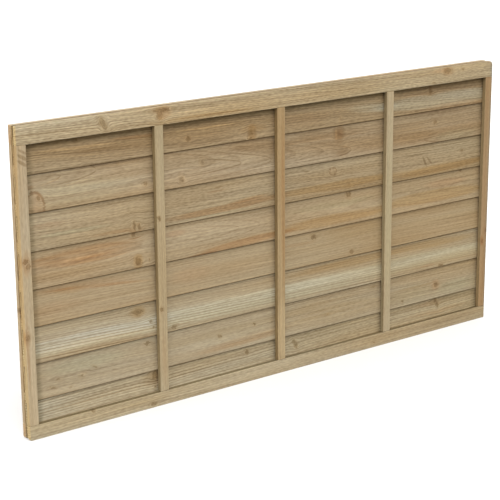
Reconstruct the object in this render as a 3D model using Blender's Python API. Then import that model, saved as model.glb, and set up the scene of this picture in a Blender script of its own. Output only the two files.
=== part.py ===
"""Overlap fence panel, 1.83 m by 0.91 m, as a standalone Blender 4.5 script.

Eight thin boards run over the full width. Each one laps in front of the board below it, and all of
them are held between a front frame and a rear frame of planed timber: a rail at the top and the
bottom, a stile at each end and three battens between.

Units are metres and +Z is up. X runs along the panel from its left end, and -Y is the front. The
origin is at the middle of the front left stile's outer face, where the panel meets its post.
"""
import math

import bmesh
import bpy
from mathutils import Vector

# Overall size
WIDTH = 1.830
HEIGHT = 0.914

# Frame timbers: face widths, and depths from front to back
TOP_RAIL_HEIGHT = 0.054
BOTTOM_RAIL_HEIGHT = 0.044
STILE_WIDTH = 0.030
BATTEN_WIDTH = 0.030
FRONT_DEPTH = 0.015
REAR_DEPTH = 0.015
BATTEN_COUNT = 3

# Boards
BOARD_COUNT = 8
BOARD_WIDTH = 0.142
BOARD_THICKNESS = 0.005
BOARD_EDGE_RECESS = 0.0008
BOARD_END_RECESS = 0.0015

# Clearance left wherever one piece seats on another
SEAT = 0.0003

# Rounding: long edges of the timbers and boards, and the panel's corners as seen from the front
TIMBER_ARRIS = 0.0014
BOARD_ARRIS = 0.0008
UPPER_LEFT_ROUND = 0.002
UPPER_RIGHT_ROUND = 0.014
LOWER_LEFT_ROUND = 0.005
LOWER_RIGHT_ROUND = 0.0035
ROUND_STEPS = 6
ARRIS_STEPS = 3
ARRIS_ANGLE = math.radians(40)

# Corner radii of a piece, from the lower left one round by the lower right one
SQUARE_CORNERS = (0, 0, 0, 0)
UPPER_CORNERS = (0, 0, UPPER_RIGHT_ROUND, UPPER_LEFT_ROUND)
LOWER_CORNERS = (LOWER_LEFT_ROUND, LOWER_RIGHT_ROUND, 0, 0)

# Boards' spacing and lean, worked out from the sizes above
BOARD_PITCH = (HEIGHT - 2 * BOARD_EDGE_RECESS - BOARD_WIDTH) / (BOARD_COUNT - 1)
BOARD_TILT = math.asin((BOARD_THICKNESS + SEAT) / BOARD_PITCH)
BOARD_SPACE = (BOARD_WIDTH * math.sin(BOARD_TILT)
               + BOARD_THICKNESS * math.cos(BOARD_TILT) + 2 * SEAT)

# Upright timbers stand between the rails
UPRIGHT_FOOT = BOTTOM_RAIL_HEIGHT + SEAT
UPRIGHT_LENGTH = HEIGHT - TOP_RAIL_HEIGHT - BOTTOM_RAIL_HEIGHT - 2 * SEAT

# The post's face, in the panel's own measure from its lower left front corner
POST_FACE = Vector((0.0, FRONT_DEPTH / 2, UPRIGHT_FOOT + UPRIGHT_LENGTH / 2))

# Materials: base colour, roughness
FRAME_TIMBER = ("frame_timber", (0.45, 0.345, 0.2), 0.78)
BOARD_TIMBER = ("board_timber", (0.385, 0.29, 0.17), 0.82)


def clear_scene():
    """Removes every object that the scene starts with."""
    for item in list(bpy.data.objects):
        bpy.data.objects.remove(item, do_unlink=True)


def timber_material(name, colour, roughness):
    """Returns a plain Principled material for one kind of timber."""
    material = bpy.data.materials.new(name)
    material.use_nodes = True
    shader = material.node_tree.nodes["Principled BSDF"]
    shader.inputs["Base Color"].default_value = (*colour, 1.0)
    shader.inputs["Roughness"].default_value = roughness
    shader.inputs["Metallic"].default_value = 0.0
    return material


def add_object(name, mesh, material, place, panel):
    """Links a mesh into the scene under its name, at a place in the panel's own measure."""
    item = bpy.data.objects.new(name, mesh)
    item.data.materials.append(material)
    item.parent = panel
    item.location = place
    bpy.context.collection.objects.link(item)
    return item


def ease_edges(item, width):
    """Rounds the sharp edges of a sawn piece by a small arris."""
    bevel = item.modifiers.new("arris", "BEVEL")
    bevel.width = width
    bevel.segments = ARRIS_STEPS
    bevel.limit_method = "ANGLE"
    bevel.angle_limit = ARRIS_ANGLE
    bevel.miter_outer = "MITER_ARC"


def corner_points(corner, inward_x, inward_z, radius):
    """Returns the points of one rounded corner of an upright rectangle, in order round it."""
    if radius <= 0:
        return [corner]
    centre = (corner[0] + inward_x * radius, corner[1] + inward_z * radius)
    middle = math.atan2(-inward_z, -inward_x)
    points = []
    for step in range(ROUND_STEPS + 1):
        angle = middle + (step / ROUND_STEPS - 0.5) * math.pi / 2
        points.append((centre[0] + radius * math.cos(angle), centre[1] + radius * math.sin(angle)))
    return points


def timber_mesh(name, length, height, depth, rounds=SQUARE_CORNERS):
    """Extrudes an upright rectangle from front to back, with the radii given for its corners."""
    low_left, low_right, high_right, high_left = rounds
    outline = corner_points((0, 0), 1, 1, low_left)
    outline += corner_points((length, 0), -1, 1, low_right)
    outline += corner_points((length, height), -1, -1, high_right)
    outline += corner_points((0, height), 1, -1, high_left)
    shape = bmesh.new()
    front = shape.faces.new([shape.verts.new((x, 0, z)) for x, z in outline])
    swept = bmesh.ops.extrude_face_region(shape, geom=[front])["geom"]
    back = [part for part in swept if isinstance(part, bmesh.types.BMVert)]
    bmesh.ops.translate(shape, vec=(0, depth, 0), verts=back)
    bmesh.ops.recalc_face_normals(shape, faces=shape.faces)
    mesh = bpy.data.meshes.new(name)
    shape.to_mesh(mesh)
    shape.free()
    return mesh


def add_frame(side, face, depth, material, panel):
    """Adds one frame: two rails with the stiles and the battens between them.

    Args:
        side: Name of the side, which starts each piece's name.
        face: Distance of the frame's near face from the panel's front.
        depth: Depth of the timbers.
    """
    top = timber_mesh(f"{side}_top_rail", WIDTH, TOP_RAIL_HEIGHT, depth, UPPER_CORNERS)
    top_rail = add_object(top.name, top, material, (0, face, HEIGHT - TOP_RAIL_HEIGHT), panel)
    bottom = timber_mesh(f"{side}_bottom_rail", WIDTH, BOTTOM_RAIL_HEIGHT, depth, LOWER_CORNERS)
    bottom_rail = add_object(bottom.name, bottom, material, (0, face, 0), panel)
    uprights = [("left_stile", 0.0, STILE_WIDTH), ("right_stile", WIDTH - STILE_WIDTH, STILE_WIDTH)]
    spacing = (WIDTH - STILE_WIDTH) / (BATTEN_COUNT + 1)
    for number in range(1, BATTEN_COUNT + 1):
        middle = STILE_WIDTH / 2 + number * spacing
        uprights.append((f"batten_{number}", middle - BATTEN_WIDTH / 2, BATTEN_WIDTH))
    pieces = [top_rail, bottom_rail]
    for name, left, width in uprights:
        mesh = timber_mesh(f"{side}_{name}", width, UPRIGHT_LENGTH, depth)
        pieces.append(add_object(mesh.name, mesh, material, (left, face, UPRIGHT_FOOT), panel))
    for piece in pieces:
        ease_edges(piece, TIMBER_ARRIS)


def add_boards(material, panel):
    """Adds the lapped boards, number 1 at the top.

    Each board leans back by the same angle, so that it lies flat on the next one down. Its lower
    front edge seats on the front frame, and its upper rear edge on the rear frame. The first and
    the last one share the rails' rounded corners.
    """
    drop = BOARD_THICKNESS * math.sin(BOARD_TILT)
    length = WIDTH - 2 * BOARD_END_RECESS
    corners = {1: UPPER_CORNERS, BOARD_COUNT: LOWER_CORNERS}
    for number in range(1, BOARD_COUNT + 1):
        lower_edge = (BOARD_COUNT - number) * BOARD_PITCH + BOARD_EDGE_RECESS + drop
        rounds = corners.get(number, SQUARE_CORNERS)
        mesh = timber_mesh(f"board_{number}", length, BOARD_WIDTH, BOARD_THICKNESS, rounds)
        place = (BOARD_END_RECESS, FRONT_DEPTH + SEAT, lower_edge)
        board = add_object(mesh.name, mesh, material, place, panel)
        board.rotation_euler.x = -BOARD_TILT
        ease_edges(board, BOARD_ARRIS)


def main():
    """Builds the panel."""
    clear_scene()
    frame_timber = timber_material(*FRAME_TIMBER)
    board_timber = timber_material(*BOARD_TIMBER)
    panel = bpy.data.objects.new("panel", None)
    panel.location = -POST_FACE
    bpy.context.collection.objects.link(panel)
    add_frame("front", 0.0, FRONT_DEPTH, frame_timber, panel)
    add_boards(board_timber, panel)
    add_frame("rear", FRONT_DEPTH + BOARD_SPACE, REAR_DEPTH, frame_timber, panel)
    bpy.context.view_layer.update()


main()
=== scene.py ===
"""The looks of an overlap fence panel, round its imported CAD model.

Eight lapped boards stand between a front and a rear frame of planed timber. This script gives every
piece the finish of pressure-treated softwood: growth rings cut from a tapering log, knots that the
grain flows round, heartwood streaks, fibres and end grain. It also sets the studio and the camera.

Marks and grain are measured as a fencer would, in millimetres from the panel's left end and up
from its foot. What comes from the model is in metres.
"""
import logging
import math
import random
from dataclasses import dataclass, replace
from enum import Enum
from typing import Any, Callable, Iterable, Mapping, Optional, Union

import bpy
from mathutils import Matrix, Vector

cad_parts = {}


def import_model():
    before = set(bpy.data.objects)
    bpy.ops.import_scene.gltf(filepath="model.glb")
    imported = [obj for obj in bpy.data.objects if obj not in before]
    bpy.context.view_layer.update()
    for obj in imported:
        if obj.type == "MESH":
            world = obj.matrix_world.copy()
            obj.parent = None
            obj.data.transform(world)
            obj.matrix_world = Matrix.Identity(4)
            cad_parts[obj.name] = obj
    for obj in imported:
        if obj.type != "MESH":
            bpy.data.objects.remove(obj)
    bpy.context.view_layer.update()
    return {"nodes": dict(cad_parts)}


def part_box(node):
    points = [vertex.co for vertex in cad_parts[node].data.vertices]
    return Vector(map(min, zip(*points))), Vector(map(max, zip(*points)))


LOG = logging.getLogger("fence_panel")

# A millimetre, in the model's metres
MM = 0.001

Colour = tuple[float, float, float]


def tinted(colour: Colour, share: Colour) -> Colour:
    """Returns a colour with each of its parts multiplied by its share."""
    red, green, blue = (part * by for part, by in zip(colour, share))
    return red, green, blue


def bearing(turn: float, lift: float) -> Vector:
    """Returns the direction from the panel to a place.

    Args:
        turn: How far round from the front it stands, towards the panel's right, in degrees.
        lift: How high above the horizon it stands, in degrees.

    Returns:
        That direction, one long.
    """
    round_it, up = math.radians(turn), math.radians(lift)
    return Vector((math.sin(round_it) * math.cos(up), -math.cos(round_it) * math.cos(up), math.sin(up)))


class Run(Enum):
    """Which way the grain of a piece runs."""

    ALONG = "along"
    UPRIGHT = "upright"


class Stain(Enum):
    """A tint that timber takes in places, as a multiplier of its colour.

    The first three are heartwood, SALTS comes from the treatment, GREY to WHITE are sapwood, and
    RIGHT_EDGE_SHADE is painted shade along the rounded right edge of the panel.
    """

    ORANGE = (0.92, 0.78, 0.65)
    OCHRE = (0.93, 0.83, 0.66)
    PINK = (1.00, 0.92, 0.88)
    RED_BROWN = (0.76, 0.62, 0.50)
    BROWN = (0.84, 0.78, 0.70)
    SALTS = (0.98, 1.05, 1.07)
    GREY = (1.15, 1.34, 1.62)
    CREAM = (1.13, 1.22, 1.30)
    WHITE = (1.03, 1.10, 1.30)
    SPRING = (1.40, 1.38, 1.34)
    RESIN = (0.68, 0.63, 0.55)
    RIGHT_EDGE_SHADE = (0.76, 0.84, 0.97)
    PALE = (1.14, 1.17, 1.22)


@dataclass(frozen=True)
class Knot:
    """A knot that shows on a piece's face.

    Attributes:
        x: Its middle, from the panel's left end.
        z: Its middle, up from the panel's foot.
        width: Its size along the panel.
        height: Its size upright.
        paleness: 0 for a dark knot, up to about 0.9 for one that hardly shows.
        tilt: How far it leans, in degrees, anticlockwise as seen from the front.
        ringed: True for a large pale one whose outline shows as a dark ring.
    """

    x: float
    z: float
    width: float
    height: float
    paleness: float = 0.0
    tilt: float = 0.0
    ringed: bool = False


@dataclass(frozen=True)
class Streak:
    """A soft-edged band or patch of a stain that follows the grain.

    Attributes:
        x: Its middle, from the panel's left end.
        z: Its middle, up from the panel's foot.
        width: Its reach along the panel, from end to end.
        height: Its reach upright.
        stain: The tint it gives.
        strength: How much of that tint shows at its middle.
        tilt: How far it leans, in degrees.
    """

    x: float
    z: float
    width: float
    height: float
    stain: Stain
    strength: float = 1.0
    tilt: float = 0.0


@dataclass(frozen=True)
class Growth:
    """How a piece lay in its log, which sets how the rings show on it.

    Attributes:
        heart: Where the heart line crosses the piece's near end: up from the foot for a piece that
            runs along, from the left end for an upright one.
        far_heart: The same at the far end.
        depth: How far the heart lies behind the face.
        ring: Mean width of a year's ring.
        taper: Slope of the rings along the grain, which draws out the pointed arches.
        turn: Where the taper turns back, from the near end, or None.
        wander: How far the rings wander from true.
        ripple: Size of the small waves in the rings.
        contrast: How much darker the summer wood is than the spring wood.
        fibre: How strongly the fibres show, where 1 is coarse softwood.
    """

    heart: float
    far_heart: float
    depth: float
    ring: float
    taper: float
    turn: Optional[float]
    wander: float
    ripple: float
    contrast: float
    fibre: float = 1.0


@dataclass(frozen=True)
class Arch:
    """A pointed arch of summer wood, where the rings run out at a flat-sawn face.

    Attributes:
        x: Its point, from the panel's left end.
        z: Its point, up from the panel's foot.
        opening: How far its arms stand from its middle line, 100 mm behind the point.
        reach: How far the arms run back: to the left of the point, or to its right if below 0.
        strength: How dark its line is.
    """

    x: float
    z: float
    opening: float
    reach: float
    strength: float = 1.0


@dataclass(frozen=True)
class Tone:
    """The colours of one piece of timber.

    Attributes:
        body: Colour of the spring wood on the faces, at the near end.
        far: Multiplier at the far end, which the tone reaches gradually. On the boards and rails it is
            partly the timber's own tone and partly a painted fall-off of the light towards the right end.
        summer: Multiplier that gives the summer wood's colour.
        band: Multiplier at the darker end of the slow change across the rings.
        flank_shade: Multiplier on the narrow faces beside the grain, mostly painted shade on them, with some
            of their own tone.
        end: Multiplier on the end grain.
    """

    body: Colour
    far: Colour = (1.0, 1.0, 1.0)
    summer: Colour = (0.60, 0.52, 0.42)
    band: Colour = (0.93, 0.89, 0.82)
    flank_shade: Colour = (0.60, 0.58, 0.50)
    end: Colour = (0.66, 0.58, 0.44)


@dataclass(frozen=True)
class Timber:
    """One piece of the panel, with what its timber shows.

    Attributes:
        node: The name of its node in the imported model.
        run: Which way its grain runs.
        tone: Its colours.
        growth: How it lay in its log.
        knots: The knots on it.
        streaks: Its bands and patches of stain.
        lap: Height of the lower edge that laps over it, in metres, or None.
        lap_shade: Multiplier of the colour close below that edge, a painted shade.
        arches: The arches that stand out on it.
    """

    node: str
    run: Run
    tone: Tone
    growth: Growth
    knots: tuple[Knot, ...] = ()
    streaks: tuple[Streak, ...] = ()
    lap: Optional[float] = None
    lap_shade: Colour = (0.93, 0.92, 0.90)
    arches: tuple[Arch, ...] = ()


Value = Union["Field", float, Vector, tuple[float, ...]]


def operator(operation: str, swapped: bool = False) -> Callable[..., "Field"]:
    """Makes a method of Field that adds one Math node.

    Args:
        operation: Blender's name of what the node does.
        swapped: True if the other value comes first.

    Returns:
        The method. It takes the other value, where the operation needs one.
    """
    def result(field: "Field", other: Value = 0.0) -> "Field":
        pair = (other, field) if swapped else (field, other)
        return field.bench.math(operation, *pair)
    return result


class Field:
    """A value that changes over a surface, with arithmetic that adds Math nodes.

    Attributes:
        bench: Where its nodes are made.
        socket: The node's socket that gives the value.
    """

    __add__ = operator("ADD")
    __radd__ = operator("ADD", swapped=True)
    __sub__ = operator("SUBTRACT")
    __rsub__ = operator("SUBTRACT", swapped=True)
    __mul__ = operator("MULTIPLY")
    __rmul__ = operator("MULTIPLY", swapped=True)
    __truediv__ = operator("DIVIDE")
    __abs__ = operator("ABSOLUTE")
    root = operator("SQRT")
    whole = operator("FLOOR")
    remainder = operator("FRACT")
    least = operator("MINIMUM")
    most = operator("MAXIMUM")

    def __init__(self, bench: "Bench", socket: bpy.types.NodeSocket) -> None:
        """Wraps a node's output socket."""
        self.bench = bench
        self.socket = socket

    def fade(self, start: float, end: float, low: float = 0.0, high: float = 1.0) -> "Field":
        """Returns a smooth step.

        Args:
            start: Value at which the step is still low.
            end: Value at which it reaches high, above or below the start.
            low: The result at the start.
            high: The result at the end.

        Returns:
            The stepped value.
        """
        settings = {"interpolation_type": "SMOOTHSTEP"}
        inputs = {"Value": self, "From Min": start, "From Max": end, "To Min": low, "To Max": high}
        return self.bench.node("ShaderNodeMapRange", settings, inputs)


class Bench:
    """Makes and links the nodes of one material or world.

    Attributes:
        tree: The node tree that it fills.
    """

    def __init__(self, tree: bpy.types.NodeTree) -> None:
        """Takes over a node tree and empties it."""
        self.tree = tree
        tree.nodes.clear()

    def node(self, kind: str, settings: Optional[Mapping[str, Any]] = None,
             inputs: Optional[Mapping[Union[int, str], Value]] = None,
             output: Union[int, str] = 0) -> Field:
        """Adds a node.

        Args:
            kind: Blender's name of the node's type.
            settings: Its properties, which are set first.
            inputs: Values or fields by the socket's name or number.
            output: The output that is wanted.

        Returns:
            That output as a field, or the first input of a node without outputs.
        """
        made = self.tree.nodes.new(kind)
        for name, setting in (settings or {}).items():
            setattr(made, name, setting)
        for key, value in (inputs or {}).items():
            if isinstance(value, Field):
                self.tree.links.new(value.socket, made.inputs[key])
            else:
                made.inputs[key].default_value = value
        return Field(self, made.outputs[output] if made.outputs else made.inputs[0])

    def math(self, operation: str, first: Value, second: Value) -> Field:
        """Adds a Math node and returns its result."""
        return self.node("ShaderNodeMath", {"operation": operation}, {0: first, 1: second})

    def vector(self, operation: str, *parts: Value, output: Union[int, str] = 0) -> Field:
        """Adds a Vector Math node and returns its result."""
        return self.node("ShaderNodeVectorMath", {"operation": operation}, dict(enumerate(parts)), output)

    def dot(self, first: Value, second: Value) -> Field:
        """Returns the dot product of two vectors."""
        return self.vector("DOT_PRODUCT", first, second, output="Value")

    def join(self, *parts: Value) -> Field:
        """Returns the vector of up to three values."""
        return self.node("ShaderNodeCombineXYZ", None, dict(enumerate(parts)))

    def noise(self, place: Field, detail: float) -> Field:
        """Returns smooth noise about 0.5 at a place."""
        inputs = {"Vector": place, "Scale": 1.0, "Detail": detail, "Roughness": 0.5}
        return self.node("ShaderNodeTexNoise", {"noise_dimensions": "3D"}, inputs)

    def tint(self, colour: Value, multiplier: Colour, amount: Value) -> Field:
        """Returns a colour multiplied by another, as far as the amount says."""
        settings = {"data_type": "RGBA", "blend_type": "MULTIPLY", "clamp_result": False}
        inputs = {0: amount, 6: colour, 7: (*multiplier, 1.0)}
        return self.node("ShaderNodeMix", settings, inputs, 2)

    def shade(self, colour: Field, brightness: Value) -> Field:
        """Returns a colour made brighter or darker."""
        return self.node("ShaderNodeVectorMath", {"operation": "SCALE"}, {0: colour, "Scale": brightness})


@dataclass(frozen=True)
class Lamp:
    """One broad soft light far from the panel.

    Attributes:
        name: What it is called.
        turn: Where it stands, in degrees round from the front towards the panel's right.
        lift: Its height above the horizon, in degrees.
        power: Brightness that it gives a surface which faces it, where 1 shows a colour as written.
        spread: How broad it looks from the panel, in degrees.
    """

    name: str
    turn: float
    lift: float
    power: float
    spread: float

    def hang(self) -> None:
        """Hangs the lamp."""
        data = bpy.data.lights.new(self.name, "SUN")
        data.energy = self.power * math.pi
        data.angle = math.radians(self.spread)
        lamp = bpy.data.objects.new(self.name, data)
        lamp.matrix_world = bearing(self.turn, self.lift).to_track_quat("Z", "Y").to_matrix().to_4x4()
        bpy.context.scene.collection.objects.link(lamp)
        LOG.info("%s", self.name)


@dataclass(frozen=True)
class Wave:
    """A soft noise on a piece, drawn out along its grain.

    Attributes:
        along: Waves per metre along the grain.
        across: Waves per metre across it.
        detail: How many finer waves lie on top.
        bent: True if it bends with the rings.
    """

    along: float
    across: float
    detail: float = 1.0
    bent: bool = False


@dataclass(frozen=True)
class KnotLayer:
    """One tint of a knot, which shows by how far a place lies from the knot's middle.

    Attributes:
        tint: Multiplier of the colour.
        steps: The fades that bound it, by the squared distance in units of the knot's half sizes.
        broken: True if it shows in places only.
    """

    tint: Colour
    steps: tuple[tuple[float, ...], ...]
    broken: bool = False

    def paint(self, colour: Field, distance: Field, breaks: Field) -> Field:
        """Returns the colour with this layer on it."""
        amount = distance.fade(*self.steps[0])
        for step in self.steps[1:]:
            amount = amount * distance.fade(*step)
        if self.broken:
            amount = amount * breaks
        return colour.bench.tint(colour, self.tint, amount)


@dataclass(frozen=True)
class Surface:
    """Where a place on a piece lies, in metres from the panel's lower left front corner.

    Attributes:
        normal: Which way the surface faces there.
        face: The place as seen from the front.
        along: How far along the grain.
        across: How far across it.
        depth: How far in from the front.
    """

    normal: Field
    face: Field
    along: Field
    across: Field
    depth: Field


@dataclass(frozen=True)
class Flow:
    """How the knots bend the grain.

    Attributes:
        push: How far they push it aside.
        near: Squared distance from the nearest plain knot, in units of its half sizes, or None.
        outline: The same for the ringed knots.
    """

    push: Value
    near: Optional[Field]
    outline: Optional[Field]


@dataclass(frozen=True)
class Rings:
    """The year's rings of a piece.

    Attributes:
        across: How far a place lies across the grain, with the grain's bends.
        summer: 1 in the summer wood, 0 in the spring wood.
        strength: How strongly the summer wood shows.
    """

    across: Field
    summer: Field
    strength: Field


class TimberFinish:
    """The procedural material of one piece of pressure-treated softwood.

    Attributes:
        timber: The piece it is for.
        upright: True if the grain runs upright.
        foot: Height of the piece's lower edge above the panel's foot.
        reach: How far the piece's far end lies along the grain from the panel's corner.
        material: The material itself.
        bench: Where its nodes are made.
        seed: The piece's own random numbers.
        surface: Where a place on it lies.
        flow: How the knots bend its grain.
        rings: Its rings.
    """

    # How squarely a surface has to face one way to count as an end or a flank, or as the front
    SIDEWAYS = (0.55, 0.85)
    FORWARD = (0.3, 0.7)
    NOISE_STARTS = (0.0, 90.0)
    NOISE_MEAN = 0.5

    # Grain round the knots
    FLOW_STRETCH = 1.8
    FLOW_CORE = 0.75
    FLOW_SHARE = 0.7
    PALE_CALM = 0.6
    PALE_SHRINK = 1.4
    RAGGED = Wave(120.0, 180.0)
    RAGGED_ALONG = 0.014
    RAGGED_UP = -0.010

    # Rings
    SLOW_BEND = Wave(1.3, 7.0)
    QUICK_BEND = Wave(7.0, 30.0)
    SLOW_GAIN = 4
    QUICK_GAIN = 2
    YEARS_CHANGE = 130.0
    YEARS_UNEVEN = 1.1
    SUMMER_RISE = (0.48, 0.90)
    SUMMER_FALL = (1.0, 0.93)
    WEAKEST_YEAR = 0.55
    YEARS_DIFFER = 0.8
    PATCHES = Wave(1.0, 14.0)
    PATCHES_STEP = (0.30, 0.60, 0.60, 1.10)
    CLEAR_OF_KNOT = (0.7, 1.5)
    CLEAR_OF_OUTLINE = (0.9, 1.4)
    ARCH_STEP = 0.1
    ARCH_LINE = 0.0055
    ARCH_EDGE = 0.0016
    ARCH_FULL = 1 / 3

    # Slow changes of colour
    BAND = Wave(0.9, 24.0, bent=True)
    BAND_STEP = (0.34, 0.66)
    HUE = Wave(1.4, 12.0)
    WARM = (0.98, 0.93, 0.85)
    WARM_STEP = (0.45, 0.70)
    COOL = (1.0, 1.03, 1.06)
    COOL_STEP = (0.55, 0.32)
    STREAKY = Wave(3.5, 110.0, 2.0, bent=True)
    STREAKY_STEP = (0.30, 0.62, 0.55, 1.08)

    # Fibres: long lines, fine ones, specks and hairs, each with its strength, and dark flecks
    FIBRES = (
        (Wave(2.4, 170.0, 0.0, bent=True), 0.40),
        (Wave(3.5, 300.0, 0.0, bent=True), 0.55),
        (Wave(75.0, 330.0, 0.0, bent=True), 0.58),
        (Wave(40.0, 900.0), 0.24),
    )
    FLECKS = Wave(20.0, 180.0, 0.0, bent=True)
    FLECKS_STEP = (0.62, 0.76)
    FLECKS_DEPTH = 0.06
    DARK_FIBRE = (1.0, 0.94, 0.86)
    DARK_FIBRE_SHARE = 3.0

    # Boards: painted shade on their lower edges, a soft band and a dark line of painted shade below a lap,
    # and painted shade beside the left stile
    LOWER_EDGE_SHADE = (0.64, 0.58, 0.48)
    LOWER_EDGE_SHADE_STEP = (0.0033, 0.0)
    LAP_SHADE_STEP = (0.026, 0.006)
    LAP_LINE_SHADE = (0.56, 0.49, 0.38)
    LAP_LINE_SHADE_STEP = (0.0036, 0.0012)
    STILE_SHADE = (0.74, 0.74, 0.70)
    STILE_SHADE_STEP = (0.060, 0.045)

    # Knots: halo, body, rim and heart of a plain one; inside and outline of a ringed one
    PLAIN_KNOT = (
        KnotLayer((0.95, 0.92, 0.87), ((4.0, 1.0, 0.0, 0.9),)),
        KnotLayer((0.70, 0.65, 0.575), ((1.60, 0.45),)),
        KnotLayer((0.80, 0.76, 0.70), ((0.45, 0.85), (1.45, 0.98)), broken=True),
        KnotLayer((0.74, 0.71, 0.66), ((0.55, 0.0),)),
    )
    PLAIN_BREAKS = Wave(70.0, 90.0)
    PLAIN_BREAKS_STEP = (0.35, 0.60)
    RINGED_KNOT = (
        KnotLayer((1.00, 0.97, 0.95), ((1.10, 0.85),)),
        KnotLayer((0.66, 0.55, 0.45), ((0.56, 0.90), (1.40, 1.00)), broken=True),
    )
    RINGED_BREAKS = Wave(28.0, 40.0)
    RINGED_BREAKS_STEP = (0.28, 0.52, 0.40, 1.0)
    KNOT_RINGS = 19.0
    KNOT_RINGS_DEPTH = 0.07
    KNOT_RINGS_STEP = (1.6, 1.0)

    # Gloss and relief
    ROUGHNESS = 0.74
    SUMMER_GLOSS = -0.08
    SPECULAR = 0.32
    FUZZ = Wave(45.0, 1100.0)
    FUZZ_HEIGHT = 0.5
    SUMMER_HEIGHT = -0.35
    RELIEF_STRENGTH = 0.8
    RELIEF = 0.00035

    def __init__(self, timber: Timber, corner: Vector) -> None:
        """Starts a material and works out the piece's grain.

        Args:
            timber: The piece it is for.
            corner: The panel's lower left front corner.
        """
        low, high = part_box(timber.node)
        self.timber = timber
        self.upright = timber.run is Run.UPRIGHT
        self.foot = low.z - corner.z
        self.reach = high.z - corner.z if self.upright else high.x - corner.x
        self.material = bpy.data.materials.new(f"{timber.node}_timber")
        self.material.use_nodes = True
        self.bench = Bench(self.material.node_tree)
        self.seed = random.Random(timber.node)
        self.surface = self.lay_out(corner)
        self.flow = self.flow_round_knots()
        self.rings = self.count_rings()

    def offset(self) -> float:
        """Returns this piece's next place to start a noise from."""
        return self.seed.uniform(*self.NOISE_STARTS)

    def lay_out(self, corner: Vector) -> Surface:
        """Returns the coordinates: along the grain, across the face, and in from the face."""
        bench = self.bench
        place = bench.vector("SUBTRACT", bench.node("ShaderNodeTexCoord", output="Object"), corner)
        x, depth, z = (bench.dot(place, tuple(axis)) for axis in Matrix.Identity(3))
        along, across = (z, x) if self.upright else (x, z)
        normal = bench.node("ShaderNodeTexCoord", output="Normal")
        return Surface(normal, bench.join(x, z), along, across, depth)

    def wave(self, wave: Wave) -> Field:
        """Returns a noise about 0.5, which starts from this piece's next place."""
        across = self.rings.across if wave.bent else self.surface.across
        place = self.bench.join(self.surface.along, across, self.surface.depth)
        start = (self.offset(), self.offset(), self.offset())
        counts = (wave.along, wave.across, wave.across)
        return self.bench.noise(self.bench.vector("MULTIPLY_ADD", place, counts, start), wave.detail)

    def spot(self, mark: Union[Knot, Streak], place: Field) -> Field:
        """Returns the place as seen from a mark, in units of its half sizes."""
        inputs = {
            "Vector": place,
            "Location": (mark.x * MM, mark.z * MM, 0.0),
            "Rotation": (0.0, 0.0, math.radians(mark.tilt)),
            "Scale": (mark.width * MM / 2, mark.height * MM / 2, 1.0),
        }
        return self.bench.node("ShaderNodeMapping", {"vector_type": "TEXTURE"}, inputs)

    def flow_round_knots(self) -> Flow:
        """Works out how far the knots push the grain aside, and how near the nearest knot is."""
        bench = self.bench
        ragged = self.wave(self.RAGGED) - self.NOISE_MEAN
        shift = bench.join(ragged * self.RAGGED_ALONG, ragged * self.RAGGED_UP)
        place = bench.vector("ADD", self.surface.face, shift)
        slim = 1 / self.FLOW_STRETCH
        side, squeeze = ((1, 0), (1.0, slim, 0.0)) if self.upright else ((0, 1), (slim, 1.0, 0.0))
        push: Value = 0.0
        near = outline = None
        for knot in self.timber.knots:
            seen = self.spot(knot, place)
            distance = bench.dot(seen, seen)
            eye = bench.vector("MULTIPLY", seen, squeeze)
            spread = bench.dot(eye, eye).most(self.FLOW_CORE)
            width = knot.width if self.upright else knot.height
            half = self.FLOW_SHARE * (1.0 - self.PALE_CALM * knot.paleness) * width * MM / 2
            push = bench.dot(seen, (side[0] * half, side[1] * half, 0.0)) / spread + push
            if knot.ringed:
                outline = distance.least(outline) if outline else distance
            else:
                shrunk = distance + knot.paleness * self.PALE_SHRINK
                near = shrunk.least(near) if near else shrunk
        return Flow(push, near, outline)

    def count_rings(self) -> Rings:
        """Works out the rings: their bends, their count from the heart, and where the summer wood lies."""
        bench, growth, surface, flow = self.bench, self.timber.growth, self.surface, self.flow
        slow = self.wave(self.SLOW_BEND) - self.NOISE_MEAN
        quick = self.wave(self.QUICK_BEND) - self.NOISE_MEAN
        wander, ripple = self.SLOW_GAIN * growth.wander * MM, self.QUICK_GAIN * growth.ripple * MM
        across = surface.across - flow.push + (slow * wander + quick * ripple)
        slope = (growth.far_heart - growth.heart) * MM / self.reach
        level = across - surface.along * slope
        from_heart = level - growth.heart * MM
        behind = surface.depth - growth.depth * MM
        rise = surface.along * growth.taper
        if growth.turn is not None:
            rise = rise - (surface.along - growth.turn * MM).most(0.0) * (2 * growth.taper)
        radius = (from_heart * from_heart + behind * behind).root() + rise
        start = (self.offset(), self.offset(), 0.0)
        years = bench.vector("MULTIPLY_ADD", bench.join(radius), (self.YEARS_CHANGE, 0.0, 0.0), start)
        uneven = bench.noise(years, 1.0) - self.NOISE_MEAN
        count = radius / (growth.ring * MM) + uneven * self.YEARS_UNEVEN
        year = count.remainder()
        summer = year.fade(*self.SUMMER_RISE) * year.fade(*self.SUMMER_FALL)
        lottery = bench.node("ShaderNodeTexWhiteNoise", {"noise_dimensions": "1D"},
                             {"W": count.whole() + self.offset()})
        patches = self.wave(self.PATCHES).fade(*self.PATCHES_STEP)
        strength = summer * (lottery * self.YEARS_DIFFER + self.WEAKEST_YEAR) * patches
        if flow.near:
            strength = strength * flow.near.fade(*self.CLEAR_OF_KNOT)
        if flow.outline:
            strength = strength * flow.outline.fade(*self.CLEAR_OF_OUTLINE)
        for arch in self.timber.arches:
            off = level - (arch.z - arch.x * slope) * MM
            strength = strength.most(self.arch_line(arch, off))
        return Rings(across, summer, strength)

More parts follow.
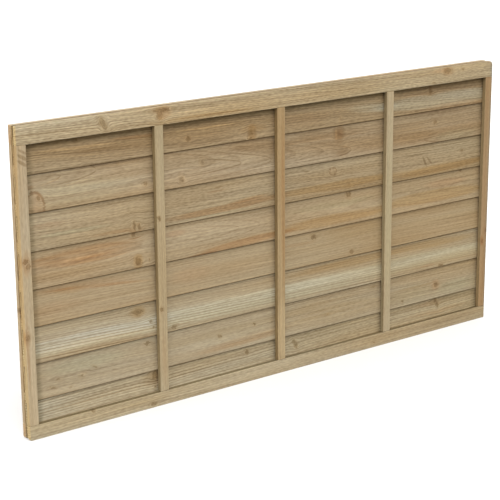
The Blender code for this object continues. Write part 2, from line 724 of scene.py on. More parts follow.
    def arch_line(self, arch: Arch, off: Field) -> Field:
        """Returns the line of one arch.

        Args:
            arch: The arch.
            off: How far a place lies from the arch's middle line.

        Returns:
            The strength of its summer wood.
        """
        reach = abs(arch.reach) * MM
        back = (self.surface.along - arch.x * MM) * -math.copysign(1.0, arch.reach)
        arm = (back.most(0.0) * ((arch.opening * MM) ** 2 / self.ARCH_STEP)).root()
        outside = abs(off) - arm
        line = outside.fade(-self.ARCH_LINE, 0.0) * outside.fade(self.ARCH_EDGE, 0.0)
        shown = back.fade(-self.ARCH_EDGE, self.ARCH_LINE) * back.fade(reach, reach * self.ARCH_FULL)
        return line * shown * arch.strength

    def facing(self, way: tuple[float, float, float]) -> Field:
        """Returns how squarely the surface faces a way, from 1 to -1."""
        return self.bench.dot(self.surface.normal, way)

    def paint(self) -> Field:
        """Returns the timber's colour."""
        bench, tone, contrast = self.bench, self.timber.tone, self.timber.growth.contrast
        # Painted fall-off of the light towards the far end, mixed with the timber's own tone
        colour = bench.tint((*tone.body, 1.0), tone.far, (self.surface.along / self.reach).least(1.0))
        colour = bench.tint(colour, tone.band, self.wave(self.BAND).fade(*self.BAND_STEP))
        hue = self.wave(self.HUE)
        colour = bench.tint(colour, self.WARM, hue.fade(*self.WARM_STEP))
        colour = bench.tint(colour, self.COOL, hue.fade(*self.COOL_STEP))
        colour = self.paint_streaks(colour)
        upward, sideways = abs(self.facing((0.0, 0.0, 1.0))), abs(self.facing((1.0, 0.0, 0.0)))
        end, flank_shade = (upward, sideways) if self.upright else (sideways, upward)
        end = end.fade(*self.SIDEWAYS)
        # Painted shade on the narrow faces beside the grain, with some of their own tone
        colour = bench.tint(colour, tone.flank_shade, flank_shade.fade(*self.SIDEWAYS))
        colour = bench.tint(colour, tone.end, end)
        colour = bench.tint(colour, tone.summer, self.rings.strength * (end * contrast + contrast))
        if self.timber.lap is not None:
            colour = self.paint_lap_shade(colour, self.timber.lap)
        colour = self.paint_knots(colour)
        fibres = self.fibres()
        colour = bench.tint(colour, self.DARK_FIBRE, (1.0 - fibres) * self.DARK_FIBRE_SHARE)
        return bench.shade(colour, fibres)

    def paint_streaks(self, colour: Field) -> Field:
        """Returns the colour with the bands and patches of stain, and the streaks of painted shade along the
        right edge.
        """
        bench, along, across = self.bench, self.surface.along, self.rings.across
        streaky = self.wave(self.STREAKY).fade(*self.STREAKY_STEP)
        place = bench.join(across, along) if self.upright else bench.join(along, across)
        for streak in self.timber.streaks:
            seen = self.spot(streak, place)
            shown = bench.dot(seen, seen).fade(1.0, 0.0, 0.0, streak.strength)
            colour = bench.tint(colour, streak.stain.value, shown * streaky)
        return colour

    def paint_lap_shade(self, colour: Field, lap: float) -> Field:
        """Returns the colour with painted shade on a board's lower edge, below the next board and beside the
        left stile.

        Args:
            colour: The colour so far.
            lap: Height of the next board's lower edge.

        Returns:
            The new colour.
        """
        front = self.facing((0.0, -1.0, 0.0)).fade(*self.FORWARD)
        below = lap - self.surface.across
        # Each band is painted shade on the board's front face
        bands = (
            (self.surface.across - self.foot, self.LOWER_EDGE_SHADE_STEP, self.LOWER_EDGE_SHADE),
            (below, self.LAP_SHADE_STEP, self.timber.lap_shade),
            (self.surface.along, self.STILE_SHADE_STEP, self.STILE_SHADE),
            (below, self.LAP_LINE_SHADE_STEP, self.LAP_LINE_SHADE),
        )
        for distance, step, tint in bands:
            colour = self.bench.tint(colour, tint, distance.fade(*step) * front)
        return colour

    def paint_knots(self, colour: Field) -> Field:
        """Returns the colour with the ringed knots and the plain ones."""
        near, outline = self.flow.near, self.flow.outline
        if outline:
            breaks = self.wave(self.RINGED_BREAKS).fade(*self.RINGED_BREAKS_STEP)
            for layer in self.RINGED_KNOT:
                colour = layer.paint(colour, outline, breaks)
        if not near:
            return colour
        breaks = self.wave(self.PLAIN_BREAKS).fade(*self.PLAIN_BREAKS_STEP)
        for layer in self.PLAIN_KNOT:
            colour = layer.paint(colour, near, breaks)
        rings = self.bench.math("SINE", near.root() * self.KNOT_RINGS, 0.0) * self.KNOT_RINGS_DEPTH
        return self.bench.shade(colour, rings * near.fade(*self.KNOT_RINGS_STEP) + 1.0)

    def fibres(self) -> Field:
        """Returns the brightness of the fibres, about 1."""
        first, *others = [(self.wave(wave) - self.NOISE_MEAN) * strength for wave, strength in self.FIBRES]
        flecks = self.wave(self.FLECKS).fade(*self.FLECKS_STEP) * self.FLECKS_DEPTH
        return (sum(others, first) - flecks) * self.timber.growth.fibre + 1.0

    def build(self) -> bpy.types.Material:
        """Paints the timber and gives it gloss and relief.

        Returns:
            The material, linked to its output.
        """
        bench = self.bench
        colour = self.paint()
        height = self.rings.strength * self.SUMMER_HEIGHT + self.wave(self.FUZZ) * self.FUZZ_HEIGHT
        relief = {"Strength": self.RELIEF_STRENGTH, "Distance": self.RELIEF, "Height": height}
        inputs = {
            "Base Color": colour,
            "Roughness": self.rings.summer * self.SUMMER_GLOSS + self.ROUGHNESS,
            "Normal": bench.node("ShaderNodeBump", None, relief),
            "Specular IOR Level": self.SPECULAR,
        }
        surface = bench.node("ShaderNodeBsdfPrincipled", None, inputs)
        bench.node("ShaderNodeOutputMaterial", None, {"Surface": surface})
        return self.material


@dataclass(frozen=True)
class Workshop:
    """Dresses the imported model's pieces in their timber.

    Attributes:
        nodes: The pieces by name.
        corner: The panel's lower left front corner.
    """

    nodes: Mapping[str, bpy.types.Object]
    corner: Vector

    def dress(self, timbers: Iterable[Timber]) -> None:
        """Gives each piece its own finish.

        Args:
            timbers: The pieces, each with the name of its node.
        """
        for timber in timbers:
            item = self.nodes[timber.node]
            item.material_slots[0].material = TimberFinish(timber, self.corner).build()
            LOG.info("%s: %d knots, %d streaks", timber.node, len(timber.knots), len(timber.streaks))


FRAME_BODY: Colour = (0.450, 0.352, 0.215)
BOARD_BODY: Colour = (0.400, 0.305, 0.185)


@dataclass(frozen=True)
class LappedBoards:
    """The eight boards that run over the full width, each lapping in front of the one below.

    Attributes:
        body: Colour that each board's own tone starts from.
        far: How the boards darken towards the right end, a painted fall-off of the light with a warmer tone.
        end: Multiplier on their end grain.
    """

    body: Colour = BOARD_BODY
    far: Colour = (0.90, 0.88, 0.83)
    end: Colour = (1.10, 1.00, 0.76)

    def tone(self, red: float, green: float, blue: float, far: Optional[Colour] = None) -> Tone:
        """Returns a board's tone, from how its colour differs from the boards' usual one."""
        return Tone(tinted(self.body, (red, green, blue)), far or self.far, end=self.end)

    def first(self) -> Timber:
        """Returns board 1, under the top rail: brown, with pale sapwood towards the right end."""
        knots = (
            Knot(200, 849, 22, 16, 0.66), Knot(578, 803, 16, 17, 0.20), Knot(813, 788, 22, 44, 0.72),
            Knot(808, 777, 18, 10, 0.35), Knot(1560, 840, 16, 24, 0.12), Knot(1168, 792, 18, 20, 0.85),
        )
        streaks = (
            Streak(400, 835, 220, 14, Stain.ORANGE, 0.9, -2),
            Streak(200, 830, 320, 10, Stain.SPRING, 1.5, -1),
            Streak(220, 819, 300, 10, Stain.BROWN, 0.8, -1),
            Streak(200, 808, 280, 7, Stain.SPRING, 0.8, -4), Streak(320, 802, 440, 50, Stain.BROWN, 0.9),
            Streak(620, 796, 340, 50, Stain.BROWN, 0.8), Streak(640, 830, 260, 9, Stain.SPRING, 1.2, -1),
            Streak(820, 800, 140, 30, Stain.OCHRE, 0.7), Streak(815, 790, 46, 50, Stain.OCHRE, 0.8),
            Streak(1020, 800, 240, 60, Stain.RED_BROWN, 0.30),
            Streak(1300, 810, 260, 40, Stain.GREY, 0.7, -3), Streak(1640, 804, 740, 56, Stain.GREY, 2.6),
            Streak(1700, 782, 440, 24, Stain.ORANGE, 0.7), Streak(1620, 838, 600, 30, Stain.BROWN, 0.9),
        )
        growth = Growth(970, 940, 40, 7.2, -0.05, None, 4, 1.4, 0.45)
        tone = self.tone(0.84, 0.82, 0.77, (0.93, 0.91, 0.88))
        # Board 1 takes a darker painted shade below the top rail
        return Timber("board_1", Run.ALONG, tone, growth, knots, streaks, lap_shade=(0.70, 0.66, 0.52))

    def second(self) -> Timber:
        """Returns board 2: flat-sawn, with long pointed arches and large ringed knots."""
        knots = (
            Knot(60, 680, 57, 81, 1.0, 8, True), Knot(70, 702, 10, 16, 0.20, 20),
            Knot(425, 690, 20, 20, 0.52), Knot(336, 765, 12, 10, 0.80), Knot(553, 685, 18, 30, 0.48, 15),
            Knot(628, 726, 20, 22, 0.60), Knot(1165, 746, 36, 46, 0.94), Knot(1585, 730, 20, 18, 0.42),
        )
        streaks = (
            Streak(47, 726, 30, 18, Stain.RED_BROWN, 0.7), Streak(66, 690, 44, 56, Stain.PINK, 0.6),
            Streak(200, 700, 500, 90, Stain.SALTS, 0.9), Streak(240, 715, 560, 140, Stain.PALE, 0.35),
            Streak(115, 738, 90, 7, Stain.SPRING, 0.7, 17),
            Streak(200, 729, 120, 7, Stain.SPRING, 0.6, 7),
            Streak(860, 745, 340, 60, Stain.BROWN, 1.4, -8), Streak(340, 768, 400, 30, Stain.BROWN, 0.8),
            Streak(1100, 745, 400, 60, Stain.BROWN, 0.75), Streak(1164, 744, 60, 66, Stain.BROWN, 1.0),
            Streak(1168, 750, 32, 44, Stain.ORANGE, 0.3), Streak(1153, 747, 13, 34, Stain.SPRING, 0.8),
            Streak(1176, 685, 66, 32, Stain.BROWN, 1.1),
            Streak(1194, 702, 70, 10, Stain.SPRING, 0.5, -18),
            Streak(1040, 748, 200, 30, Stain.BROWN, 0.7), Streak(1560, 766, 340, 8, Stain.RED_BROWN, 0.9),
            Streak(1470, 710, 260, 100, Stain.OCHRE, 0.3), Streak(1570, 693, 90, 8, Stain.RESIN, 0.6, 12),
            Streak(1630, 683, 200, 18, Stain.PALE, 0.9), Streak(1450, 715, 1300, 150, Stain.BROWN, 0.75),
            Streak(1680, 680, 260, 40, Stain.SALTS, 1.4),
        )
        arches = (
            Arch(148, 757, 40, 120, 1.8), Arch(262, 755, 30, 240, 2.1), Arch(775, 706, 18, 280, 2.2),
            Arch(890, 700, 25, 340, 1.9), Arch(1215, 690, 26, 120, 2.2), Arch(1180, 690, 18, 80, 1.4),
            Arch(1532, 679, 14, -260, 2.2),
        )
        growth = Growth(762, 655, 66.4, 6, 0.053, 1380, 3, 0.6, 0.36, 0.8)
        tone = self.tone(0.98, 0.995, 1.035, (0.88, 0.87, 0.84))
        return Timber("board_2", Run.ALONG, tone, growth, knots, streaks, arches=arches)

    def third(self) -> Timber:
        """Returns board 3: plain tan, with an orange streak along its lower edge."""
        knots = (
            Knot(383, 568, 13, 38, 0.48, 5), Knot(398, 566, 10, 24, 0.34),
            Knot(1140, 625, 30, 24, 0.6, 0, True), Knot(1205, 577, 16, 20, 0.90),
            Knot(1715, 617, 16, 9, 0.45),
        )
        streaks = (
            Streak(100, 620, 140, 22, Stain.PINK, 0.8), Streak(180, 590, 300, 18, Stain.SALTS, 1.0),
            Streak(330, 565, 240, 14, Stain.ORANGE, 0.9), Streak(720, 577, 560, 28, Stain.ORANGE, 1.4, 1),
            Streak(800, 590, 200, 14, Stain.ORANGE, 1.0, 2), Streak(1140, 580, 700, 34, Stain.OCHRE, 1.3),
            Streak(1620, 572, 560, 36, Stain.OCHRE, 1.4), Streak(1541, 602, 11, 50, Stain.RESIN, 1.2, 28),
            Streak(1562, 604, 10, 48, Stain.RESIN, 0.9, 42), Streak(1500, 630, 120, 8, Stain.RESIN, 0.8),
            Streak(680, 630, 90, 8, Stain.RED_BROWN, 1.0), Streak(690, 640, 50, 6, Stain.BROWN, 1.2),
            Streak(1033, 637, 34, 8, Stain.RESIN, 1.0), Streak(700, 562, 400, 6, Stain.SALTS, 1.0),
        )
        growth = Growth(740, 720, 40, 7.2, -0.030, None, 5, 1.2, 0.36, 0.88)
        tone = self.tone(0.99, 1.05, 1.12, (0.80, 0.74, 0.63))
        return Timber("board_3", Run.ALONG, tone, growth, knots, streaks)

    def fourth(self) -> Timber:
        """Returns board 4: orange heartwood at the left end and along its lower edge."""
        knots = (
            Knot(380, 543, 14, 16, 0.20), Knot(392, 461, 25, 30, 0.30), Knot(432, 460, 9, 14, 0.60),
            Knot(1208, 539, 22, 25, 0.36), Knot(1712, 549, 18, 12, 0.12),
        )
        streaks = (
            Streak(200, 516, 500, 50, Stain.ORANGE, 1.3), Streak(240, 496, 400, 22, Stain.ORANGE, 1.0),
            Streak(60, 505, 200, 50, Stain.BROWN, 0.6), Streak(392, 461, 44, 46, Stain.OCHRE, 0.9),
            Streak(385, 531, 60, 6, Stain.RED_BROWN, 1.2), Streak(200, 504, 200, 7, Stain.SPRING, 0.6),
            Streak(530, 520, 100, 26, Stain.PINK, 1.0), Streak(800, 455, 460, 28, Stain.ORANGE, 1.6, 2),
            Streak(620, 444, 140, 7, Stain.RED_BROWN, 1.0), Streak(1150, 466, 620, 44, Stain.OCHRE, 1.3),
            Streak(1140, 516, 440, 34, Stain.SALTS, 1.2), Streak(680, 508, 420, 80, Stain.PALE, 0.35),
            Streak(1600, 477, 620, 54, Stain.OCHRE, 1.8), Streak(1640, 517, 240, 36, Stain.PINK, 1.6),
            Streak(1600, 446, 420, 6, Stain.PALE, 1.2),
        )
        arches = (Arch(765, 502, 18, 240, 1.6), Arch(845, 500, 26, 300, 1.3))
        growth = Growth(510, 490, 60, 6, 0.045, 800, 4, 0.8, 0.30, 0.72)
        tone = self.tone(1.0, 1.0, 1.0)
        return Timber("board_4", Run.ALONG, tone, growth, knots, streaks, arches=arches)

    def fifth(self) -> Timber:
        """Returns board 5: the plainest, with one falling streak."""
        knots = (
            Knot(1060, 421, 20, 16, 0.12), Knot(1220, 345, 16, 18, 0.25),
        )
        streaks = (
            Streak(250, 412, 460, 14, Stain.ORANGE, 0.80, -5),
            Streak(160, 416, 130, 26, Stain.OCHRE, 0.6, -3),
            Streak(220, 420, 440, 40, Stain.PINK, 0.8, -4), Streak(120, 375, 220, 40, Stain.PINK, 0.6),
            Streak(580, 385, 200, 70, Stain.PINK, 0.7), Streak(1000, 410, 200, 16, Stain.ORANGE, 0.5),
            Streak(1240, 415, 360, 56, Stain.OCHRE, 0.7),
        )
        growth = Growth(500, 480, 55, 8, -0.020, None, 5, 1, 0.24, 0.58)
        tone = self.tone(0.97, 0.96, 0.93, (0.92, 0.915, 0.885))
        return Timber("board_5", Run.ALONG, tone, growth, knots, streaks)

    def sixth(self) -> Timber:
        """Returns board 6: a broad pale band of sapwood over its whole length."""
        knots = (
            Knot(388, 305, 26, 24, 0.20), Knot(386, 306, 56, 11, 0.30), Knot(432, 267, 11, 10, 0.10),
            Knot(440, 248, 7, 6, 0.05), Knot(514, 234, 20, 12, 0.02, 10), Knot(1625, 226, 28, 10, 0.15),
        )
        streaks = (
            Streak(920, 260, 4200, 58, Stain.CREAM, 1.9), Streak(160, 260, 1200, 56, Stain.PALE, 0.65),
            Streak(200, 266, 800, 46, Stain.WHITE, 0.9), Streak(240, 235, 600, 14, Stain.BROWN, 0.5),
            Streak(240, 250, 560, 7, Stain.SPRING, 0.3), Streak(388, 305, 70, 32, Stain.OCHRE, 0.6),
            Streak(700, 278, 500, 6, Stain.PALE, 0.5), Streak(920, 314, 2300, 30, Stain.BROWN, 0.45),
            Streak(1220, 308, 600, 36, Stain.OCHRE, 0.8), Streak(1580, 310, 600, 44, Stain.OCHRE, 0.75),
            Streak(920, 229, 2200, 12, Stain.BROWN, 0.3), Streak(550, 240, 120, 5, Stain.RED_BROWN, 0.9),
            Streak(1560, 233, 100, 10, Stain.PINK, 1.2),
        )
        growth = Growth(460, 440, 30, 7.5, -0.012, None, 2, 0.8, 0.75, 0.66)
        return Timber("board_6", Run.ALONG, self.tone(1.065, 1.16, 1.285), growth, knots, streaks)

    def seventh(self) -> Timber:
        """Returns board 7: greenish tan, with small knots that the grain swirls round."""
        knots = (
            Knot(418, 201, 18, 14, 0.12), Knot(417, 201, 36, 6, 0.55), Knot(110, 158, 24, 12, 0.68, -20),
            Knot(190, 154, 28, 16, 0.70, 15), Knot(233, 169, 24, 9, 0.66, -30),
            Knot(90, 137, 28, 10, 0.70, -10), Knot(150, 127, 18, 7, 0.75, 20),
            Knot(685, 167, 14, 14, 0.25), Knot(820, 178, 10, 8, 0.10), Knot(1120, 150, 18, 10, 0.62),
            Knot(1320, 205, 22, 8, 0.45), Knot(1606, 158, 20, 18, 0.28), Knot(1450, 130, 14, 12, 0.60),
        )
        streaks = (
            Streak(780, 136, 460, 40, Stain.ORANGE, 0.8, 2), Streak(1500, 166, 300, 10, Stain.BROWN, 1.2),
            Streak(1606, 158, 50, 44, Stain.PINK, 1.4), Streak(200, 185, 360, 50, Stain.SALTS, 1.2),
            Streak(1120, 165, 560, 120, Stain.OCHRE, 0.4), Streak(920, 165, 1000, 130, Stain.OCHRE, 0.3),
            Streak(1160, 165, 440, 130, Stain.BROWN, 0.35), Streak(1490, 150, 240, 80, Stain.SALTS, 0.6),
            Streak(1700, 140, 220, 60, Stain.SALTS, 1.0),
        )
        growth = Growth(290, 275, 45, 7, -0.020, None, 5, 1.2, 0.30, 0.7)
        tone = self.tone(1.01, 1.10, 1.23, (0.88, 0.84, 0.76))
        return Timber("board_7", Run.ALONG, tone, growth, knots, streaks)

    def eighth(self) -> Timber:
        """Returns board 8: close, even rings, behind the bottom rail at its lower edge."""
        knots = (
            Knot(443, 95, 26, 34, 0.30), Knot(440, 58, 9, 7, 0.40), Knot(791, 92, 16, 16, 0.25),
            Knot(982, 84, 11, 18, 0.05, 20), Knot(988, 72, 13, 20, 0.0, 20),
            Knot(1606, 102, 14, 18, 0.10), Knot(1617, 86, 12, 22, 0.05, 20),
        )
        streaks = (
            Streak(445, 90, 120, 60, Stain.BROWN, 1.3), Streak(1580, 95, 160, 20, Stain.PINK, 0.8),
            Streak(1600, 65, 400, 24, Stain.ORANGE, 0.5), Streak(1160, 75, 560, 90, Stain.OCHRE, 0.35),
            Streak(300, 60, 340, 20, Stain.PALE, 0.5),
        )
        growth = Growth(230, 240, 25, 8.2, 0.008, None, 1, 0.4, 0.90, 0.9)
        tone = self.tone(1.07, 1.235, 1.46, (0.83, 0.745, 0.605))
        return Timber("board_8", Run.ALONG, tone, growth, knots, streaks)

    def timbers(self) -> list[Timber]:
        """Returns all the boards, from the top, each with the height of the edge that laps over it."""
        boards = [self.first(), self.second(), self.third(), self.fourth(),
                  self.fifth(), self.sixth(), self.seventh(), self.eighth()]
        above = ["front_top_rail"] + [board.node for board in boards]
        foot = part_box("front_bottom_rail")[0].z
        return [replace(board, lap=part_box(node)[0].z - foot) for board, node in zip(boards, above)]


@dataclass(frozen=True)
class FrontFrame:
    """The front frame: two rails, with two stiles and three battens between them.

    Attributes:
        body: Colour that each timber's own tone starts from.
        end: Multiplier on their end grain.
    """

    body: Colour = FRAME_BODY
    end: Colour = (0.98, 0.90, 0.68)

    def tone(self, red: float, green: float, blue: float, far: Colour, flank_shade: Colour = Tone.flank_shade) -> Tone:
        """Returns a timber's tone, from how its colour differs from the frame's usual one."""
        return Tone(tinted(self.body, (red, green, blue)), far, flank_shade=flank_shade, end=self.end)

    def top_rail(self) -> Timber:
        """Returns the top rail: fine wavy rings and a few knots."""
        knots = (
            Knot(278, 888, 16, 46, 0.15, 28), Knot(471, 904, 64, 12, 0.30),
            Knot(468, 889, 22, 30, 0.15, 12), Knot(1618, 901, 34, 20, 0.20), Knot(1690, 900, 14, 9, 0.40),
            Knot(1555, 868, 12, 8, 0.45),
        )
        streaks = (
            Streak(1580, 903, 100, 14, Stain.PINK, 1.0), Streak(482, 896, 80, 34, Stain.ORANGE, 0.7),
            Streak(1160, 886, 540, 60, Stain.OCHRE, 0.38), Streak(1622, 897, 70, 36, Stain.ORANGE, 0.4),
            Streak(620, 872, 500, 16, Stain.OCHRE, 0.7), Streak(140, 886, 500, 70, Stain.PALE, 0.45),
            # Painted shade along the rounded right edge
            Streak(1832, 888, 32, 130, Stain.RIGHT_EDGE_SHADE, 1.4),
        )
        growth = Growth(980, 970, 20, 5.4, -0.030, None, 3, 1.2, 0.60, 1.1)
        tone = self.tone(1.075, 1.11, 1.16, (0.88, 0.885, 0.88))
        return Timber("front_top_rail", Run.ALONG, tone, growth, knots, streaks)

    def bottom_rail(self) -> Timber:
        """Returns the bottom rail: pale, with small faint knots."""
        knots = (
            Knot(211, 42, 12, 14, 0.15), Knot(424, 12, 26, 14, 0.28), Knot(1310, 16, 18, 8, 0.65),
        )
        streaks = (
            Streak(400, 22, 240, 20, Stain.OCHRE, 0.3), Streak(1220, 26, 600, 50, Stain.OCHRE, 0.45),
            Streak(1650, 22, 400, 60, Stain.BROWN, 0.10),
        )
        growth = Growth(70, 60, 15, 7, 0.012, None, 3, 1, 0.42, 0.85)
        # The rail's dark flank multiplier is painted shade on its top face
        tone = self.tone(1.08, 1.22, 1.45, (0.765, 0.67, 0.54), flank_shade=(0.36, 0.34, 0.27))
        return Timber("front_bottom_rail", Run.ALONG, tone, growth, knots, streaks)

    def left_stile(self) -> Timber:
        """Returns the left stile: pale, with three knots that cut its edges."""
        knots = (
            Knot(12, 532, 20, 14, 0.15, 10), Knot(20, 516, 14, 24, 0.34, -20), Knot(8, 310, 20, 28, 0.44),
        )
        streaks = (
            Streak(16, 842, 40, 10, Stain.RESIN, 1.2, -32),
            Streak(16, 826, 44, 14, Stain.RESIN, 1.7, -34),
            Streak(14, 810, 42, 13, Stain.RESIN, 1.5, -36), Streak(15, 524, 34, 100, Stain.ORANGE, 0.8),
            Streak(6, 260, 12, 260, Stain.ORANGE, 0.9), Streak(15, 450, 60, 340, Stain.OCHRE, 0.25),
        )
        growth = Growth(50, 42, 10, 7, 0.02, None, 3, 1, 0.20, 0.5)
        tone = self.tone(1.12, 1.18, 1.33, (0.89, 0.86, 0.82), flank_shade=(0.82, 0.75, 0.57))
        return Timber("front_left_stile", Run.UPRIGHT, tone, growth, knots, streaks)

    def right_stile(self) -> Timber:
        """Returns the right stile: heartwood, orange brown all the way up."""
        knots = (
            Knot(1826, 320, 14, 20, 0.35), Knot(1808, 285, 10, 20, 0.45),
        )
        streaks = (
            Streak(1822, 320, 26, 60, Stain.PINK, 1.0), Streak(1808, 285, 16, 50, Stain.ORANGE, 1.0),
            # Painted shade along the rounded right edge
            Streak(1832, 460, 30, 1700, Stain.RIGHT_EDGE_SHADE, 1.4),
        )
        growth = Growth(1790, 1796, 16, 7, 0.02, None, 3, 1, 0.20, 0.5)
        tone = self.tone(0.80, 0.69, 0.61, (0.95, 0.94, 0.90), flank_shade=(0.78, 0.87, 0.88))
        return Timber("front_right_stile", Run.UPRIGHT, tone, growth, knots, streaks)

    def batten(self, number: int, tone: Tone, hearts: tuple[float, float], streaks: tuple[Streak, ...],
               knots: tuple[Knot, ...] = ()) -> Timber:
        """Returns one batten.

        Args:
            number: Its place from the left.
            tone: Its colours.
            hearts: Where its heart line lies at its foot and at its head.
            streaks: Its bands and patches of stain.
            knots: The knots on it.

        Returns:
            The batten.
        """
        growth = Growth(*hearts, 10, 7, 0.02, None, 3, 0.8, 0.20, 0.5)
        return Timber(f"front_batten_{number}", Run.UPRIGHT, tone, growth, knots, streaks)

    def battens(self) -> list[Timber]:
        """Returns the three battens, from the left."""
        streaks = (
            (Streak(465, 140, 30, 240, Stain.ORANGE, 0.5),),
            (Streak(922, 560, 26, 740, Stain.ORANGE, 0.9), Streak(915, 140, 50, 260, Stain.PALE, 1.4)),
            (Streak(1365, 460, 40, 900, Stain.SALTS, 1.0),),
        )
        knots = (Knot(459, 583, 10, 14, -0.1), Knot(460, 303, 14, 15, 0.28))
        return [
            self.batten(1, self.tone(0.98, 0.995, 1.005, (0.91, 0.89, 0.84)), (500, 494), streaks[0], knots),
            self.batten(2, self.tone(0.89, 0.83, 0.73, (1.02, 1.03, 1.05)), (885, 880), streaks[1]),
            self.batten(3, self.tone(1.02, 1.08, 1.18, (0.95, 0.92, 0.88)), (1400, 1395), streaks[2]),
        ]

    def timbers(self) -> list[Timber]:
        """Returns all the frame's timbers."""
        return [self.top_rail(), self.bottom_rail(), self.left_stile(), self.right_stile(), *self.battens()]


@dataclass(frozen=True)
class RearFrame:
    """The rear frame, which repeats the front one in timber of its own.

    Attributes:
        body: Colour that each timber's own tone starts from.
        light: Darkest and lightest multiplier of that colour.
        warmth: How much green and blue the warmest timber loses.
        knots_each: Fewest and most knots in one timber.
        knot_size: Smallest and largest knot.
        knot_shape: How low and how tall a knot is for its width.
        knot_paleness: Darkest and palest knot.
        heart_beyond: How far past its edges a timber's heart may lie.
        heart_lean: How far the heart may wander from end to end.
        contrast: Weakest and strongest rings.
    """

    body: Colour = FRAME_BODY
    light: tuple[float, float] = (0.92, 1.06)
    warmth: tuple[float, float] = (0.08, 0.20)
    knots_each: tuple[int, int] = (1, 4)
    knot_size: tuple[float, float] = (8, 18)
    knot_shape: tuple[float, float] = (0.8, 1.4)
    knot_paleness: tuple[float, float] = (0.05, 0.5)
    heart_beyond: float = 30
    heart_lean: float = 10
    contrast: tuple[float, float] = (0.24, 0.34)

    def timber(self, node: str) -> Timber:
        """Returns one timber, with its tone, rings and knots picked from its name.

        Args:
            node: The name of the piece's node.

        Returns:
            The timber.
        """
        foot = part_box("front_bottom_rail")[0]
        low, high = ((corner - foot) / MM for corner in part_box(node))
        seed = random.Random(node)
        warm = seed.uniform(0.0, 1.0)
        light = seed.uniform(*self.light)
        less_green, less_blue = (1.0 - share * warm for share in self.warmth)
        knots = []
        for _ in range(seed.randint(*self.knots_each)):
            width = seed.uniform(*self.knot_size)
            x, z = seed.uniform(low.x, high.x), seed.uniform(low.z, high.z)
            height = width * seed.uniform(*self.knot_shape)
            knots.append(Knot(x, z, width, height, seed.uniform(*self.knot_paleness)))
        lies = high.x - low.x > high.z - low.z
        near, far = (low.z, high.z) if lies else (low.x, high.x)
        heart = seed.uniform(near - self.heart_beyond, far + self.heart_beyond)
        far_heart = heart + seed.uniform(-self.heart_lean, self.heart_lean)
        contrast = seed.uniform(*self.contrast)
        growth = Growth(heart, far_heart, 50, 4.6, 0.02, None, 4, 1, contrast)
        body = tinted(self.body, (light, light * less_green, light * less_blue))
        tone = Tone(body, flank_shade=(0.78, 0.83, 0.95), end=(0.82, 0.74, 0.68))
        return Timber(node, Run.ALONG if lies else Run.UPRIGHT, tone, growth, tuple(knots))

    def timbers(self) -> list[Timber]:
        """Returns all the frame's timbers."""
        names = ["top_rail", "bottom_rail", "left_stile", "right_stile", "batten_1", "batten_2", "batten_3"]
        return [self.timber(f"rear_{name}") for name in names]


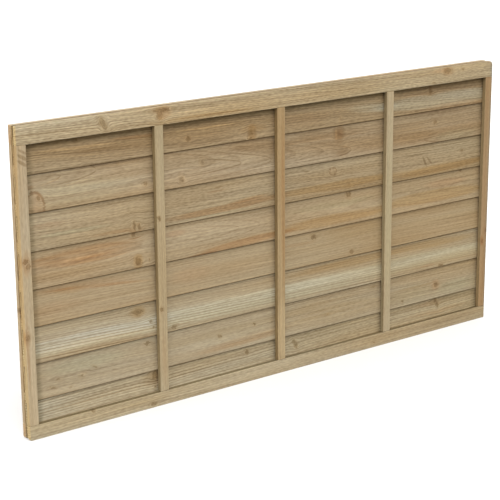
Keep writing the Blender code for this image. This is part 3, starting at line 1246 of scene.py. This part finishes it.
@dataclass(frozen=True)
class Studio:
    """The floor, the light and the camera.

    Attributes:
        horizon: Brightness of the surroundings at the horizon.
        zenith: Their brightness straight above.
        ground: Heights between which they fade out, below the horizon.
        daylight: Their colour.
        lamps: The broad lamps.
        floor_size: Side of the square floor.
        floor_shown: Colour of the floor as the camera sees it.
        floor_bounce: Colour of the floor for the light that it throws back.
        lens: Focal length in millimetres.
        sensor: Width of the picture in the camera, in millimetres.
        turn: How far the camera stands round to the left, in degrees.
        lift: How high it stands, in degrees above the horizon.
        roll: How far it is rolled, in degrees.
        distance: Its distance from the point it looks at.
        aim_along: That point, from the panel's left end.
        aim_height: That point, up from the panel's foot.
    """

    horizon: float = 1.25
    zenith: float = 0.40
    ground: tuple[float, float] = (-0.02, 0.04)
    daylight: Colour = (1.0, 0.99, 0.97)
    lamps: tuple[Lamp, ...] = (
        Lamp("left_key", -40.0, 47.0, 0.46, 50.0),
        Lamp("right_key", 35.0, 47.0, 0.44, 50.0),
        Lamp("left_side", -97.0, 14.0, 0.72, 40.0),
        Lamp("rear_fill", 170.0, 30.0, 0.32, 60.0),
    )
    floor_size: float = 60.0
    floor_shown: float = 0.78
    floor_bounce: float = 0.06
    lens: float = 109.84
    sensor: float = 36.0
    turn: float = 37.083
    lift: float = 15.688
    roll: float = -0.437
    distance: float = 4.7049
    aim_along: float = 0.7912
    aim_height: float = 0.4296

    def lay_floor(self, foot: float) -> None:
        """Lays a plain pale floor that keeps the panel's shadow.

        Args:
            foot: Height of the panel's foot.
        """
        half = self.floor_size / 2
        corners = [(-half, -half, foot), (half, -half, foot), (half, half, foot), (-half, half, foot)]
        mesh = bpy.data.meshes.new("floor")
        mesh.from_pydata(corners, [], [(0, 1, 2, 3)])
        floor = bpy.data.objects.new("floor", mesh)
        bpy.context.scene.collection.objects.link(floor)
        material = bpy.data.materials.new("pale_floor")
        material.use_nodes = True
        mesh.materials.append(material)
        bench = Bench(material.node_tree)
        shown = bench.node("ShaderNodeBsdfDiffuse", None, {"Color": (self.floor_shown,) * 3 + (1.0,)})
        bounced = bench.node("ShaderNodeBsdfDiffuse", None, {"Color": (self.floor_bounce,) * 3 + (1.0,)})
        seen = self.seen_rays(bench)
        surface = bench.node("ShaderNodeMixShader", None, {0: seen, 1: bounced, 2: shown})
        bench.node("ShaderNodeOutputMaterial", None, {"Surface": surface})
        LOG.info("floor at %.3f m", foot)

    def seen_rays(self, bench: Bench) -> Field:
        """Returns 1 for rays that show the surroundings: camera, glossy and transmission rays."""
        path = bench.node("ShaderNodeLightPath", output="Is Camera Ray")
        outputs = path.socket.node.outputs
        glossy = Field(bench, outputs["Is Glossy Ray"])
        through = Field(bench, outputs["Is Transmission Ray"])
        return path.most(glossy).most(through)

    def light_room(self) -> None:
        """Lights the panel from a soft sky and a few broad lamps, and shows plain white round it."""
        world = bpy.data.worlds.new("soft_room")
        world.use_nodes = True
        bpy.context.scene.world = world
        bench = Bench(world.node_tree)
        direction = bench.node("ShaderNodeTexCoord", output="Generated")
        height = bench.dot(direction, (0.0, 0.0, 1.0))
        brightness = height * height * (self.zenith - self.horizon) + self.horizon
        sky = {"Color": (*self.daylight, 1.0), "Strength": brightness * height.fade(*self.ground)}
        lit = bench.node("ShaderNodeBackground", None, sky)
        shown = bench.node("ShaderNodeBackground", None, {"Color": (1.0, 1.0, 1.0, 1.0), "Strength": 1.0})
        surface = bench.node("ShaderNodeMixShader", None, {0: self.seen_rays(bench), 1: lit, 2: shown})
        bench.node("ShaderNodeOutputWorld", None, {"Surface": surface})
        for lamp in self.lamps:
            lamp.hang()

    def place_camera(self, corner: Vector) -> None:
        """Stands the camera where the photograph was taken from.

        Args:
            corner: The panel's lower left front corner.
        """
        turn, roll = math.radians(-self.turn), math.radians(self.roll)
        back = bearing(-self.turn, self.lift)
        level = Vector((math.cos(turn), math.sin(turn), 0.0))
        above = back.cross(level)
        right = level * math.cos(roll) + above * math.sin(roll)
        up = above * math.cos(roll) - level * math.sin(roll)
        aim = corner + Vector((self.aim_along, 0.0, self.aim_height))
        data = bpy.data.cameras.new("camera")
        data.lens = self.lens
        data.sensor_width = self.sensor
        camera = bpy.data.objects.new("camera", data)
        turned = Matrix((right, up, back)).transposed().to_4x4()
        camera.matrix_world = Matrix.Translation(aim + back * self.distance) @ turned
        bpy.context.scene.collection.objects.link(camera)
        bpy.context.scene.camera = camera
        LOG.info("camera %.2f m away", self.distance)


def main() -> None:
    """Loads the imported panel, dresses it and sets the scene."""
    logging.basicConfig(level=logging.INFO, format="%(name)s %(message)s")
    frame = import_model()
    low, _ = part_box("front_bottom_rail")
    bpy.context.scene.view_settings.view_transform = "Standard"
    workshop = Workshop(frame["nodes"], low)
    workshop.dress(LappedBoards().timbers())
    workshop.dress(FrontFrame().timbers())
    workshop.dress(RearFrame().timbers())
    studio = Studio()
    studio.lay_floor(low.z)
    studio.light_room()
    studio.place_camera(low)


if __name__ == "__main__":
    main()
